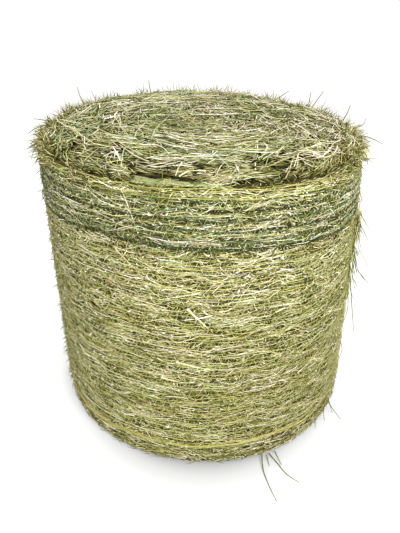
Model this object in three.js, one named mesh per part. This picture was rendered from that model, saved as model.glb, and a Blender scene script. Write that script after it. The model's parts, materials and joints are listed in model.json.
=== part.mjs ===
// A round bale of dry grass hay, standing on one of its flat ends.
// Millimetres, +Z up. The origin is the middle of the flat foot, on the ground.
// The bale is a windrow of hay wound into one roll, a band of knitted net wound round its side,
// and loose stems and blades that stick out of the roll, lie on the net or lie on the ground.
import * as THREE from 'three';
import { mergeVertices } from 'three/addons/utils/BufferGeometryUtils.js';

// The roll
const RIM_HEIGHT = 1200;
const FOOT_RADIUS = 656;
const RIM_RADIUS = 631;
const LEAN = 44; // how far the rim's middle has slid towards -X
const FOOT_ROUND = 28; // the rounding where the side meets the ground
const MAT_RISE = 42; // how far the loose mat on top stands over the rim at the front
const LEDGE = 58; // width of the bare ledge between the rim and that mat
const BACK_SHOULDER = 24; // the rounding of the rim where there is no ledge
const MAT_FACES = -95; // direction of the ledge's middle, in degrees round the bale
const MAT_SPREAD = 88; // how far the ledge runs to each side before it has faded out

// The net
const NET_THICKNESS = 3;
const NET_FOOT = 98; // its lower edge over the ground
const NET_TOP = 1190; // its upper edge, halfway between its highest and lowest stretches
const NET_TOP_TILT = 18; // the upper edge is this much higher at the front and lower behind
const NET_HIGH_SIDE = -110;
const NET_DIP = 38; // on the right the upper edge has slipped down by this much
const NET_DIP_AT = -15;
const NET_DIP_WIDTH = 30;

// Distances kept between pieces
const GAP = 0.4;
const LYING = 7; // middle of a stem that lies on the net, over the hay

// Fineness
const COLUMNS = 72;
const STEM_SIDES = 5;
const STEM_STEPS = 6;

const hayFinish = finish('#a3a468', 0.95);
const netFinish = finish('#b3b04a', 0.6);
const stemFinish = finish('#8f9659', 0.85);
const strawFinish = finish('#d9d3a4', 0.7);

function finish(colour, roughness) {
  return new THREE.MeshStandardMaterial({ color: colour, roughness, metalness: 0 });
}

function mix(a, b, share) {
  return a + (b - a) * share;
}

// Degrees from one direction to another, the shorter way, without sign
function between(angle, other) {
  return Math.abs(((((angle - other) % 360) + 540) % 360) - 180);
}

// A wound roll is never quite round
function roundness(angle) {
  const turn = THREE.MathUtils.degToRad(angle);
  return 2.5 * Math.cos(3 * turn + 0.5) + 1.5 * Math.cos(5 * turn - 1);
}

function sideRadius(angle, height) {
  return mix(FOOT_RADIUS, RIM_RADIUS, height / RIM_HEIGHT) + roundness(angle);
}

// A point by its direction, its height and its distance outside the roll's side
function onBale(angle, height, standoff) {
  const turn = THREE.MathUtils.degToRad(angle);
  const reach = sideRadius(angle, height) + standoff;
  const slid = (-LEAN * height) / RIM_HEIGHT;
  return new THREE.Vector3(slid + reach * Math.cos(turn), reach * Math.sin(turn), height);
}

// How much of the front's ledge and mat there is in a direction, from 0 to 1
function ledgeShare(angle) {
  const away = Math.min(1, between(angle, MAT_FACES) / MAT_SPREAD);
  return 1 - THREE.MathUtils.smoothstep(away, 0.35, 1);
}

// Outlines of the roll from the middle of its foot to the middle of its top, as pairs of standoff
// and height. MIDDLE stands for the axis, and a share of it for a place on the way there.
const MIDDLE = -1000;

const FOOT_OUTLINE = [
  [MIDDLE, 0],
  [-FOOT_ROUND, 0],
  [-0.29 * FOOT_ROUND, 0.29 * FOOT_ROUND],
  [0, FOOT_ROUND],
  [0, RIM_HEIGHT / 2],
];

const FRONT_TOP = [
  [0, RIM_HEIGHT],
  [-8, RIM_HEIGHT + 7],
  [-LEDGE + 10, RIM_HEIGHT + 6],
  [-LEDGE - 4, RIM_HEIGHT + 10],
  [-LEDGE + 6, RIM_HEIGHT + 0.5 * MAT_RISE],
  [-LEDGE - 14, RIM_HEIGHT + 0.9 * MAT_RISE],
  [-LEDGE - 75, RIM_HEIGHT + MAT_RISE],
  [0.4 * MIDDLE, RIM_HEIGHT + 28],
  [0.7 * MIDDLE, RIM_HEIGHT + 14],
  [MIDDLE, RIM_HEIGHT + 6],
];

const BACK_TOP = [
  [0, RIM_HEIGHT - BACK_SHOULDER],
  [-0.29 * BACK_SHOULDER, RIM_HEIGHT - 0.29 * BACK_SHOULDER],
  [-BACK_SHOULDER, RIM_HEIGHT],
  [-BACK_SHOULDER - 16, RIM_HEIGHT + 4],
  [-BACK_SHOULDER - 32, RIM_HEIGHT + 7],
  [-BACK_SHOULDER - 56, RIM_HEIGHT + 9],
  [-BACK_SHOULDER - 110, RIM_HEIGHT + 11],
  [0.4 * MIDDLE, RIM_HEIGHT + 12],
  [0.7 * MIDDLE, RIM_HEIGHT + 9],
  [MIDDLE, RIM_HEIGHT + 6],
];

// A lathe turned from an outline that may differ from direction to direction
function turned(outlineAt) {
  const pattern = outlineAt(0).map(([standoff, height]) => new THREE.Vector2(1000 + standoff, height));
  const lathe = new THREE.LatheGeometry(pattern, COLUMNS);
  const place = lathe.getAttribute('position');
  for (let i = 0; i < place.count; i += 1) {
    const column = Math.floor(i / pattern.length) % COLUMNS;
    const angle = (360 * column) / COLUMNS;
    const [standoff, height] = outlineAt(angle)[i % pattern.length];
    const inward = standoff < -0.3 * RIM_RADIUS ? (standoff / MIDDLE) * sideRadius(angle, height) : -standoff;
    const point = onBale(angle, height, -inward);
    place.setXYZ(i, point.x, point.y, point.z);
  }
  return closed(lathe);
}

// Only places are kept, with shared corners merged, so that the surface is one closed skin
function closed(geometry) {
  geometry.deleteAttribute('normal');
  geometry.deleteAttribute('uv');
  const merged = mergeVertices(geometry, 1e-3);
  const corners = Array.from(merged.index.array);
  const kept = [];
  for (let i = 0; i < corners.length; i += 3) {
    const [a, b, c] = corners.slice(i, i + 3);
    if (a !== b && b !== c && c !== a) kept.push(a, b, c);
  }
  merged.setIndex(kept);
  merged.computeVertexNormals();
  return merged;
}

function hayRollOutline(angle) {
  const share = ledgeShare(angle);
  const top = FRONT_TOP.map(([standoff, height], i) => [
    mix(BACK_TOP[i][0], standoff, share),
    mix(BACK_TOP[i][1], height, share),
  ]);
  return [...FOOT_OUTLINE, ...top];
}

function netTopAt(angle) {
  const tilt = NET_TOP_TILT * Math.cos(THREE.MathUtils.degToRad(angle - NET_HIGH_SIDE));
  const slipped = NET_DIP * Math.exp(-((between(angle, NET_DIP_AT) / NET_DIP_WIDTH) ** 2));
  return NET_TOP + tilt - slipped;
}

function netOutline(angle) {
  const inner = GAP;
  const outer = GAP + NET_THICKNESS;
  const top = netTopAt(angle);
  return [
    [inner, NET_FOOT],
    [outer, NET_FOOT],
    [outer, top],
    [inner, top],
    [inner, NET_FOOT],
  ];
}

// A tapering stem: a slim cone bent along its route. A blade is the same with a flat section.
// facing is the direction that a blade's broad side looks in.
function bentStem({ route, width, thickness = width, tip = 0.45 }, facing) {
  const bends = new THREE.CatmullRomCurve3(route.map((stop) => new THREE.Vector3(...stop)));
  const stops = bends.getPoints(STEM_STEPS).map((stop) => onBale(stop.x, stop.y, stop.z));
  const line = new THREE.CatmullRomCurve3(stops);
  const cone = new THREE.CylinderGeometry((tip * width) / 2, width / 2, 1, STEM_SIDES, STEM_STEPS);
  const place = cone.getAttribute('position');
  for (let i = 0; i < place.count; i += 1) {
    const along = Math.min(1, Math.max(0, place.getY(i) + 0.5));
    const tangent = line.getTangentAt(along);
    const across = new THREE.Vector3().crossVectors(facing, tangent).normalize();
    const over = new THREE.Vector3().crossVectors(across, tangent);
    const point = line.getPointAt(along);
    point.addScaledVector(across, place.getX(i));
    point.addScaledVector(over, (place.getZ(i) * thickness) / width);
    place.setXYZ(i, point.x, point.y, point.z);
  }
  return closed(cone);
}

// Each stop of a route is a direction in degrees, a height and a standoff from the roll's side

const RIM_STEMS = [
  { width: 5.4, route: [[149.2, 1211, -14], [149.8, 1248, 2], [150.1, 1286, 9]] },
  { width: 5, route: [[113.9, 1211, -14], [114.2, 1240, -8], [114.4, 1271, -4]] },
  { width: 4.4, route: [[93.8, 1211, -14], [93.4, 1248, -6]] },
  { width: 4.6, route: [[79.9, 1211, -14], [78.1, 1249, -2]] },
  { width: 5, route: [[54.3, 1211, -14], [50.1, 1252, 28]] },
  { width: 5.2, route: [[36.4, 1211, -14], [36.1, 1280, -8]] },
  { width: 5.2, route: [[34.6, 1211, -14], [33.8, 1250, 12], [32.6, 1288, 32]] },
  { width: 4.8, route: [[13.3, 1211, -12], [13, 1246, 4], [12.8, 1280, 14]] },
  { width: 4.6, route: [[3, 1211, -12], [2.9, 1232, 32], [2.8, 1254, 37]] },
  { width: 5, route: [[-5.5, 1210, -6], [-5, 1206, 30], [-4.5, 1178, 96]] },
  { width: 4.6, route: [[-20, 1207, 0], [-19, 1186, 22], [-18.4, 1140, 34]] },
  { width: 3.8, route: [[-37.5, 1206, 4], [-36, 1178, 34], [-35.3, 1140, 60]] },
  { width: 4.6, route: [[-177, 1209, -2], [-177.5, 1197, 32], [-177.5, 1174, 66]] },
  { width: 4.6, route: [[177, 1210, -8], [177.6, 1217, 22], [177.8, 1220, 51]] },
  { width: 4.2, route: [[-156, 1207, 5], [-157, 1182, 26], [-157.6, 1150, 38]] },
];

const HANGING_STEMS = [
  { width: 4.2, route: [[-17.3, 956, LYING], [-16.8, 881, 10], [-16.3, 781, 20], [-15.7, 744, 44]] },
  { width: 5, route: [[-17, 812, 12], [-15.7, 676, 44], [-14.8, 622, 78]] },
  { width: 5.4, route: [[-16, 700, 9], [-15.8, 528, 34], [-15.1, 346, 63]] },
  { width: 4.4, route: [[-15.2, 600, 9], [-16.1, 470, 24], [-18.2, 380, 8]] },
  { width: 4.2, route: [[-17, 300, 9], [-16.8, 250, 22], [-17.2, 195, 14]] },
  { width: 4.2, route: [[-18.4, 720, 10], [-17.6, 640, 30], [-17.2, 580, 46]] },
];

const FOOT_STEMS = [
  { width: 4.8, route: [[-31, 72, 6], [-31.6, 36, 42], [-32, 3, 84]] },
  { width: 4.2, route: [[-29.4, 66, 6], [-30, 30, 22], [-30.5, 3, 36]] },
  { width: 4.2, route: [[-34, 58, 6], [-35.4, 24, 16], [-36, 3, 26]] },
  { width: 4, route: [[-41, 50, 6], [-41.5, 24, 12], [-42, 3, 17]] },
];

const GROUND_STEMS = [
  { width: 5.6, route: [[-67.9, 16, 7], [-69.8, 6, 60], [-70.7, 4, 165], [-70.7, 3, 217]] },
  { width: 5.6, route: [[-65.2, 14, 9], [-64.3, 6, 68], [-64, 4, 118], [-62.2, 3, 175]] },
  { width: 4.6, route: [[-66.2, 10, 12], [-67.3, 3, 60]] },
  { width: 4.6, route: [[-62.6, 12, 7], [-63.4, 3, 73]] },
];

const NET_STEMS = [
  { width: 3.6, route: [[-112.2, 1182, LYING], [-111, 1156, 8], [-107.7, 1036, LYING]] },
  { width: 3.2, route: [[-84, 1177, LYING], [-78.6, 1105, LYING], [-75.2, 1042, LYING]] },
  { width: 3.6, route: [[-77.4, 1124, LYING], [-68.1, 1172, LYING], [-60.4, 1178, LYING]] },
  { width: 3.6, route: [[-84.1, 759, LYING], [-81.3, 761, LYING], [-77.6, 810, LYING], [-74.3, 861, LYING]] },
  { width: 4.5, route: [[-59.8, 739, LYING], [-57, 754, LYING]] },
  { width: 3.6, route: [[-116, 967, LYING], [-108, 885, LYING]] },
  { width: 3.6, route: [[-145.8, 429, LYING], [-141.4, 394, LYING]] },
  { width: 3.6, route: [[-54.8, 399, LYING], [-50.4, 415, LYING], [-46.4, 452, LYING]] },
];

const NET_BLADES = [
  { width: 10, thickness: 1.6, route: [[-93.8, 768, LYING], [-87.6, 690, LYING]] },
  { width: 8, thickness: 1.6, route: [[-97.9, 533, LYING], [-86, 501, LYING]] },
  { width: 7, thickness: 1.6, route: [[-103.4, 450, LYING], [-95, 437, LYING], [-92, 445, LYING]] },
];

const TOP_STEMS = [
  { width: 5.6, route: [[-95.5, 1248, -102], [-96.1, 1244, -66], [-96.7, 1226, -39]] },
  { width: 5.2, route: [[-95.6, 1225, -38], [-92.4, 1239, -53], [-87.5, 1243, -47]] },
  { width: 4.6, route: [[177, 1228, -35], [212, 1264, -125], [228, 1267, -91], [241, 1263, -112]] },
];

// Sideways to a direction, for stems that stand off the roll
function aroundward(angle) {
  const turn = THREE.MathUtils.degToRad(angle);
  return new THREE.Vector3(-Math.sin(turn), Math.cos(turn), 0);
}

// Straight out from the roll, for stems and blades that lie on the net
function outward(angle) {
  const turn = THREE.MathUtils.degToRad(angle);
  return new THREE.Vector3(Math.cos(turn), Math.sin(turn), 0);
}

function upward() {
  return new THREE.Vector3(0, 0, 1);
}

function addPiece(bale, name, geometry, material) {
  const piece = new THREE.Mesh(geometry, material);
  piece.name = name;
  bale.add(piece);
}

function addStems(bale, name, stems, facingAt, material) {
  stems.forEach((stem, i) => {
    const middle = stem.route[Math.floor(stem.route.length / 2)][0];
    addPiece(bale, `${name}_${i + 1}`, bentStem(stem, facingAt(middle)), material);
  });
}

const bale = new THREE.Group();
addPiece(bale, 'hay_roll', turned(hayRollOutline), hayFinish);
addPiece(bale, 'net_wrap', turned(netOutline), netFinish);
addStems(bale, 'rim_stem', RIM_STEMS, aroundward, stemFinish);
addStems(bale, 'hanging_stem', HANGING_STEMS, aroundward, stemFinish);
addStems(bale, 'foot_stem', FOOT_STEMS, aroundward, stemFinish);
addStems(bale, 'ground_stem', GROUND_STEMS, upward, stemFinish);
addStems(bale, 'net_stem', NET_STEMS, outward, strawFinish);
addStems(bale, 'net_blade', NET_BLADES, outward, strawFinish);
addStems(bale, 'top_stem', TOP_STEMS, upward, strawFinish);

export default bale;
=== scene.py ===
# %% [markdown]
# # A round bale of grass hay
# A windrow of dry grass was wound into one roll, and a knitted net was wound round its side.
# The roll stands on one of its flat ends. The frame holds its size, and this lesson gives it its looks:
# a dark body of packed hay, tens of thousands of stems on it, and the threads of the net.

# %% Load the frame
import json
import math
import bpy
import numpy as np
from mathutils import Matrix, Vector
from mathutils.bvhtree import BVHTree

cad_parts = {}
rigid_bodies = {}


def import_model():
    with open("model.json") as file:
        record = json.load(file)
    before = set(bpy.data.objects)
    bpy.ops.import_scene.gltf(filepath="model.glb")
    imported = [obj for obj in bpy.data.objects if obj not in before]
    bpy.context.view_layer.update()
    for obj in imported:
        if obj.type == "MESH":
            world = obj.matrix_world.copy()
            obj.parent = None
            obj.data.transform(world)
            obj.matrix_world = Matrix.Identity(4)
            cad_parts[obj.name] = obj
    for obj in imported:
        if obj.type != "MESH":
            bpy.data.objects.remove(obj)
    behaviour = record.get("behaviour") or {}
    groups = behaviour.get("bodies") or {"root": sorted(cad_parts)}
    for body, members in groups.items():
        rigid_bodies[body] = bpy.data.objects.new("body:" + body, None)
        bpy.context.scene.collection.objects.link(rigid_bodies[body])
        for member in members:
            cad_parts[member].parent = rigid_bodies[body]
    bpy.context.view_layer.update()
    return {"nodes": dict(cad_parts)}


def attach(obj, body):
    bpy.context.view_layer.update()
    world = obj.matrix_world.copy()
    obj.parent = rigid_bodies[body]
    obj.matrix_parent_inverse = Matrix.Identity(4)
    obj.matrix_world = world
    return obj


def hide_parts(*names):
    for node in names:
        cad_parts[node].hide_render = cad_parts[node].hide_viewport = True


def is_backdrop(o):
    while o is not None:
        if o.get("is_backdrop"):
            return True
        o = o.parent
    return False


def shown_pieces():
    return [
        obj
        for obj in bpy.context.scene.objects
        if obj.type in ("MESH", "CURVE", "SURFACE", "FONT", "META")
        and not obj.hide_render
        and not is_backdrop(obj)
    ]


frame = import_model()

# %% [markdown]
# ## The camera
# The bale is seen from an adult's eye height, a little over two metres away, looking down at it.
# That near and that steep, its side narrows towards the foot, which a longer lens would lose.

# %% Place the camera
EYE = Vector((-0.031, -2.1538, 1.8282))
LOOK_DOWN = 30.51  # degrees under the horizon
ROLL = 1.48
FILM = 36.0  # millimetres, along the picture's long side
FOCAL = 36.34

camera = bpy.data.objects.new("camera", bpy.data.cameras.new("camera"))
bpy.context.scene.collection.objects.link(camera)
bpy.context.scene.camera = camera
camera.data.sensor_width = FILM
camera.data.lens = FOCAL
camera.location = EYE
tilt = Matrix.Rotation(math.radians(90 - LOOK_DOWN), 3, "X")
camera.rotation_euler = (tilt @ Matrix.Rotation(math.radians(ROLL), 3, "Z")).to_euler()
print("camera:", round(EYE.length, 2), "m from the middle of the foot")

# %% [markdown]
# ## The floor
# The bale stands on a white sweep that glows a little, like a light table. The glow is painted light: it is
# nil at the foot and grows further out, where the lamps reach less, and sooner at the sides. So the floor is
# just white all over, and only a narrow soft shadow near the foot shows on it. A floor lit far past white
# would eat the thin stems in front of it.

# %% Lay the floor
FLOOR_SIZE = 60.0
FLOOR_WHITE = 0.36
PAINTED_LIGHT_REACH = 2.0  # metres from the bale's axis, for the places below
FLOOR_PAINTED_LIGHT = {  # place out to that reach, and painted light
    "foot": (0.33, 0.00), "shadow": (0.36, 0.21), "edge": (0.40, 0.38), "near": (0.46, 0.56),
    "far": (0.80, 0.58),
}
PAINTED_LIGHT_STRETCH = 1.28  # the lamps stand in front, so the painted light starts nearer the foot at the sides and keeps the shadow there narrow


def feed(node, inputs):
    """Gives each input a value, or another node's output as (node, output)."""
    for name, given in inputs.items():
        if isinstance(given, tuple) and isinstance(given[0], bpy.types.Node):
            node.id_data.links.new(given[0].outputs[given[1]], node.inputs[name])
        else:
            node.inputs[name].default_value = given


def add_node(tree, kind, inputs, **settings):
    """Adds a node, sets it up and feeds it."""
    node = tree.nodes.new(kind)
    for setting, value in settings.items():
        setattr(node, setting, value)
    feed(node, inputs)
    return node


def add_ramp(tree, stops, source, output):
    """A colour ramp with stops of (place, colour), fed by a node."""
    node = add_node(tree, "ShaderNodeValToRGB", {"Fac": (source, output)})
    elements = node.color_ramp.elements
    while len(elements) < len(stops):
        elements.new(0.5)
    for element, (place, colour) in zip(elements, sorted(stops)):
        element.position = place
        element.color = (*colour, 1)
    return node


def new_finish(name):
    """A material, with its nodes and its shader."""
    finish = bpy.data.materials.new(name)
    finish.use_nodes = True
    return finish, finish.node_tree, finish.node_tree.nodes["Principled BSDF"]


def painted_light_floor_finish():
    """A matt floor with painted light: a glow that grows the further out it is."""
    finish, tree, shader = new_finish("white sweep")
    places = add_node(tree, "ShaderNodeTexCoord", {})
    stretched = add_node(
        tree, "ShaderNodeMapping", {"Vector": (places, "Object"), "Scale": (PAINTED_LIGHT_STRETCH, 1, 1)})
    out = add_node(tree, "ShaderNodeVectorMath", {0: (stretched, "Vector")}, operation="LENGTH")
    share = add_node(tree, "ShaderNodeMapRange", {"Value": (out, "Value"), "From Max": PAINTED_LIGHT_REACH})
    stops = [(place, (value,) * 3) for place, value in FLOOR_PAINTED_LIGHT.values()]
    glow = add_ramp(tree, stops, share, "Result")
    feed(shader, {
        "Base Color": (FLOOR_WHITE, FLOOR_WHITE, FLOOR_WHITE, 1), "Roughness": 1.0, "Specular IOR Level": 0.0,
        "Emission Color": (glow, "Color"), "Emission Strength": 1.0,
    })
    return finish


bpy.ops.object.select_all(action="DESELECT")
bpy.ops.mesh.primitive_plane_add(size=FLOOR_SIZE, location=(0, 0, 0))
floor = bpy.context.object
floor.name = "floor"
floor.data.materials.append(painted_light_floor_finish())
floor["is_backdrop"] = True
print("floor laid, its glow up to", max(glow for _, glow in FLOOR_PAINTED_LIGHT.values()))

# %% [markdown]
# ## The light
# The sky is even. A wide lamp on the front right models the side, one on the left keeps the shade
# open, and one behind lights the far rim. Lamps that wide give no hard edge.

# %% Hang the lamps
SKY = 1.2
AIM = Vector((0, 0, 0.7))  # the middle of the bale
LAMPS = [
    {"name": "key lamp", "place": (1.7, -3.5, 2.8), "size": 1.8, "power": 265},
    {"name": "fill lamp", "place": (-3.2, -2.2, 2.0), "size": 2.6, "power": 60},
    {"name": "back lamp", "place": (0.4, 3.6, 2.6), "size": 2.4, "power": 85},
]


def hang_lamp(name, place, size, power):
    """A square lamp that faces the middle of the bale."""
    lamp = bpy.data.objects.new(name, bpy.data.lights.new(name, "AREA"))
    bpy.context.scene.collection.objects.link(lamp)
    lamp.data.shape = "SQUARE"
    lamp.data.size = size
    lamp.data.energy = power
    lamp.location = place
    lamp.rotation_euler = (AIM - Vector(place)).to_track_quat("-Z", "Y").to_euler()


for lamp in LAMPS:
    hang_lamp(**lamp)
world = bpy.data.worlds.new("even sky")
bpy.context.scene.world = world
world.use_nodes = True
seen = add_node(world.node_tree, "ShaderNodeLightPath", {})
strength = add_node(  # just white where the camera sees the sky itself
    world.node_tree, "ShaderNodeMath", {0: (seen, "Is Camera Ray"), 1: 1 - SKY, 2: SKY},
    operation="MULTIPLY_ADD")
feed(world.node_tree.nodes["Background"], {"Color": (1, 1, 1, 1), "Strength": (strength, "Value")})
bpy.context.scene.view_settings.view_transform = "Standard"
print("lamps:", [lamp["name"] for lamp in LAMPS], "and a sky of", SKY)

# %% [markdown]
# ## The body of packed hay
# Under its outer stems the bale is one dense body. A cylinder is the start. Its top face is drawn up
# the side ring by ring, then over the rim, along the bare ledge and up the loose mat that stands on
# the middle. The frame has the same form in flat facets, so a Shrinkwrap modifier brings the rings
# to its exact size, and a Subdivision Surface rounds them. Displace modifiers then raise the layers.

# %% Draw the rings
RIM_HEIGHT = 1.2
FOOT_RADIUS = 0.656
RIM_RADIUS = 0.631
LEAN = 0.044  # the rim has slid this far towards -X
FOOT_ROUND = 0.028
COLUMNS = 72
SIDE_RINGS = 20
TOP_RINGS = [  # distance in from the rim, and height over it
    (0.008, 0.007), (0.030, 0.007), (0.048, 0.006), (0.062, 0.010), (0.052, 0.021), (0.060, 0.031),
    (0.072, 0.038), (0.100, 0.041), (0.133, 0.042), (0.200, 0.038), (0.300, 0.032), (0.400, 0.024),
    (0.500, 0.015), (0.580, 0.009),
]


def middle_at(height):
    """How far the roll's middle has slid along X at a height."""
    return -LEAN * height / RIM_HEIGHT


def only_faces(ob, wanted):
    """Selects only the faces for which wanted says yes."""
    bpy.ops.mesh.select_all(action="DESELECT")
    bpy.ops.object.mode_set(mode="OBJECT")
    for face in ob.data.polygons:
        face.select = wanted(face)
    bpy.ops.object.mode_set(mode="EDIT")


def draw_ring(old, new):
    """Extrudes the selected top face from one (radius, height) to the next."""
    shift = (middle_at(new[1]) - middle_at(old[1]), 0, new[1] - old[1])
    bpy.ops.mesh.extrude_region_move(TRANSFORM_OT_translate={"value": shift})
    grow = new[0] / old[0]
    bpy.ops.transform.resize(value=(grow, grow, 1), center_override=(middle_at(new[1]), 0, new[1]))


bpy.ops.object.select_all(action="DESELECT")
bpy.ops.mesh.primitive_cylinder_add(
    vertices=COLUMNS, radius=FOOT_RADIUS - 0.3 * FOOT_ROUND, depth=0.3 * FOOT_ROUND,
    location=(0, 0, 0.15 * FOOT_ROUND), end_fill_type="NGON",
)
body = bpy.context.object
body.name = "hay_body"
bpy.ops.object.transform_apply(location=True)
bpy.ops.object.mode_set(mode="EDIT")
only_faces(body, lambda face: face.normal.z < -0.9)
foot_flat = 1 - 0.7 * FOOT_ROUND / FOOT_RADIUS
bpy.ops.transform.resize(value=(foot_flat, foot_flat, 1), center_override=(0, 0, 0))
for inset in (0.06, 0.2, 0.2):
    bpy.ops.mesh.inset(thickness=inset)
bpy.ops.mesh.poke()
only_faces(body, lambda face: face.normal.z > 0.9)
ring = (FOOT_RADIUS - 0.3 * FOOT_ROUND, 0.3 * FOOT_ROUND)
outline = [(FOOT_RADIUS, FOOT_ROUND)]
for height in np.linspace(FOOT_ROUND, RIM_HEIGHT, SIDE_RINGS + 1)[1:]:
    outline.append((FOOT_RADIUS + (RIM_RADIUS - FOOT_RADIUS) * height / RIM_HEIGHT, float(height)))
for inward, rise in TOP_RINGS:
    outline.append((RIM_RADIUS - inward, RIM_HEIGHT + rise))
for new_ring in outline:
    draw_ring(ring, new_ring)
    ring = new_ring
bpy.ops.mesh.poke()
bpy.ops.object.mode_set(mode="OBJECT")
print("rings drawn:", len(outline), "faces:", len(body.data.polygons))

# %% [markdown]
# ## Layers and hollows
# Wound hay lies in thin layers along the roll, so the bumps on its side are long and low. A texture
# read through an empty that is squeezed upright gives such bumps with no seam. The loose mat on top
# has rounder hollows. A vertex group for each keeps the flat foot as it is.

# %% Raise the layers
LEDGE = {"direction": math.radians(-96.5), "spread": math.radians(13), "depth": 0.048}
MAT_FOOT = RIM_HEIGHT - 0.03  # the side's layers stop and the mat's humps start at this height


def weigh(ob, name, weight_at):
    """A vertex group whose weights come from each point's place."""
    group = ob.vertex_groups.new(name=name)
    for point in ob.data.vertices:
        group.add([point.index], weight_at(point.co), "REPLACE")


def apply_modifier(ob, kind, name, **settings):
    """Adds a modifier, sets it up and applies it."""
    modifier = ob.modifiers.new(name, kind)
    for setting, value in settings.items():
        setattr(modifier, setting, value)
    bpy.context.view_layer.objects.active = ob
    bpy.ops.object.modifier_apply(modifier=name)


def raise_layers(ob, name, group, size, squeeze, strength, seed_shift):
    """Displaces a vertex group by clouds of a size, squeezed upright by a share."""
    clouds = bpy.data.textures.new(name, "CLOUDS")
    clouds.noise_scale = size
    clouds.noise_depth = 2
    ruler = bpy.data.objects.new(name, None)
    bpy.context.scene.collection.objects.link(ruler)
    ruler.location = seed_shift
    ruler.scale = (1, 1, squeeze)
    bpy.context.view_layer.update()
    apply_modifier(
        ob, "DISPLACE", name, texture=clouds, vertex_group=group, strength=strength,
        mid_level=0.5, texture_coords="OBJECT", texture_coords_object=ruler,
    )
    bpy.data.objects.remove(ruler)


def side_weight(place):
    """All of the side, fading out at the foot."""
    rising = min(1.0, max(0.0, (place.z - 0.01) / 0.05))
    return rising if place.z < MAT_FOOT else 0.0


def bare_ledge(x, y):
    """Which places are on the bare ledge, measured from the roll's middle."""
    aside = np.abs(np.arctan2(y, x) - LEDGE["direction"])
    return (aside < LEDGE["spread"]) & (np.hypot(x, y) > RIM_RADIUS - LEDGE["depth"])


def mat_weight(place):
    """The mat on top, and a little of the bare ledge in front of it."""
    if place.z < MAT_FOOT:
        return 0.0
    return 0.1 if bare_ledge(place.x - middle_at(place.z), place.y) else 1.0


apply_modifier(
    body, "SHRINKWRAP", "to size", target=frame["nodes"]["hay_roll"], wrap_method="NEAREST_SURFACEPOINT"
)
apply_modifier(body, "SUBSURF", "rounder", levels=2, render_levels=2)
weigh(body, "side", side_weight)
weigh(body, "mat", mat_weight)
raise_layers(body, "long layers", "side", 0.11, 0.2, 0.012, (3, 0, 0))
raise_layers(body, "thin layers", "side", 0.05, 0.25, 0.008, (0, 4, 0))
raise_layers(body, "humps", "mat", 0.07, 0.7, 0.036, (0, 0, 5))
raise_layers(body, "tufts", "mat", 0.03, 0.7, 0.020, (6, 1, 0))
print("top of the mat at", round(max(point.co.z for point in body.data.vertices), 3))

# %% [markdown]
# ## Hollows under the mat
# On the front the loose mat ends in a lip over a bare ledge, and there are dark pockets under it. Each
# is pushed into the body by a Displace modifier without a texture, weighted by the distance from the
# pocket's middle, and a Smooth modifier takes the folds out of its walls. The same sum later keeps
# most of the stems out of the pockets.

# %% Push in the hollows
HOLLOWS = [  # direction in degrees, distance in from the rim, height, and size
    (-107.5, 0.044, 1.222, 0.020), (-104.5, 0.050, 1.222, 0.028), (-101, 0.052, 1.222, 0.030),
    (-97.5, 0.052, 1.221, 0.025), (-94.5, 0.052, 1.220, 0.016), (-109, 0.078, 1.244, 0.017),
    (-105.5, 0.092, 1.244, 0.023), (-102, 0.102, 1.244, 0.023), (-98, 0.108, 1.244, 0.018),
    (-72, 0.102, 1.240, 0.018), (-137, 0.054, 1.208, 0.020), (-88, 0.064, 1.226, 0.014),
    (-62, 0.060, 1.226, 0.018), (-113, 0.100, 1.242, 0.014), (-57, 0.110, 1.240, 0.016),
]
HOLLOW_DEPTH = 0.055


def hollow_at(x, y, z=None):
    """How near a place is to the middle of a hollow, from 0 to 1. Without z, seen from above."""
    nearest = np.zeros(np.shape(x))
    for degrees, inward, height, size in HOLLOWS:
        turn = math.radians(degrees)
        aside = x - middle_at(height) - (RIM_RADIUS - inward) * math.cos(turn)
        ahead = y - (RIM_RADIUS - inward) * math.sin(turn)
        above = 0.0 if z is None else z - height
        nearest = np.maximum(nearest, np.exp(-(aside ** 2 + ahead ** 2 + above ** 2) / size ** 2))
    return nearest


def hollow_weight(place):
    """The hollows, without the ledge under them."""
    return float(hollow_at(*place)) if place.z > RIM_HEIGHT + 0.012 else 0.0


weigh(body, "hollows", hollow_weight)
apply_modifier(body, "DISPLACE", "pockets", vertex_group="hollows", strength=-HOLLOW_DEPTH, mid_level=0.0)
apply_modifier(body, "SMOOTH", "pocket walls", vertex_group="hollows", factor=0.5, iterations=5)
bpy.ops.object.select_all(action="DESELECT")
body.select_set(True)
bpy.ops.object.shade_smooth()
print("body faces:", len(body.data.polygons))

# %% [markdown]
# ## A map of the body
# Every stem has to lie on the body, wherever that bulges. So the body is measured once: rays from
# outside give its reach for each direction and height, and rays from above give the height of its top.
# Any number of stems can then be laid on it with plain sums on those two maps.

# %% Measure the body
MAP_ANGLES = 720
MAP_HEIGHTS = np.linspace(0.0, 1.25, 251)
TOP_HALF = 0.72
TOP_CELLS = 289

body_tree = BVHTree.FromObject(body, bpy.context.evaluated_depsgraph_get())


def measure_reach():
    """The body's reach from its middle, by direction and height."""
    reach = np.zeros((MAP_ANGLES, len(MAP_HEIGHTS)))
    for row in range(MAP_ANGLES):
        turn = 2 * math.pi * row / MAP_ANGLES
        outward = Vector((math.cos(turn), math.sin(turn), 0))
        for column, height in enumerate(MAP_HEIGHTS):
            middle = Vector((middle_at(height), 0, height))
            distance = body_tree.ray_cast(middle + outward, -outward)[3]
            reach[row, column] = 0.0 if distance is None else 1.0 - distance
    return np.maximum(reach, 0.05)


def measure_top():
    """The height of the body's top on a square grid, zero outside it."""
    places = np.linspace(-TOP_HALF, TOP_HALF, TOP_CELLS)
    heights = np.zeros((TOP_CELLS, TOP_CELLS))
    for row, x in enumerate(places):
        for column, y in enumerate(places):
            hit = body_tree.ray_cast(Vector((x, y, 2.0)), Vector((0, 0, -1)))[0]
            heights[row, column] = 0.0 if hit is None else hit.z
    return heights


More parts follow.
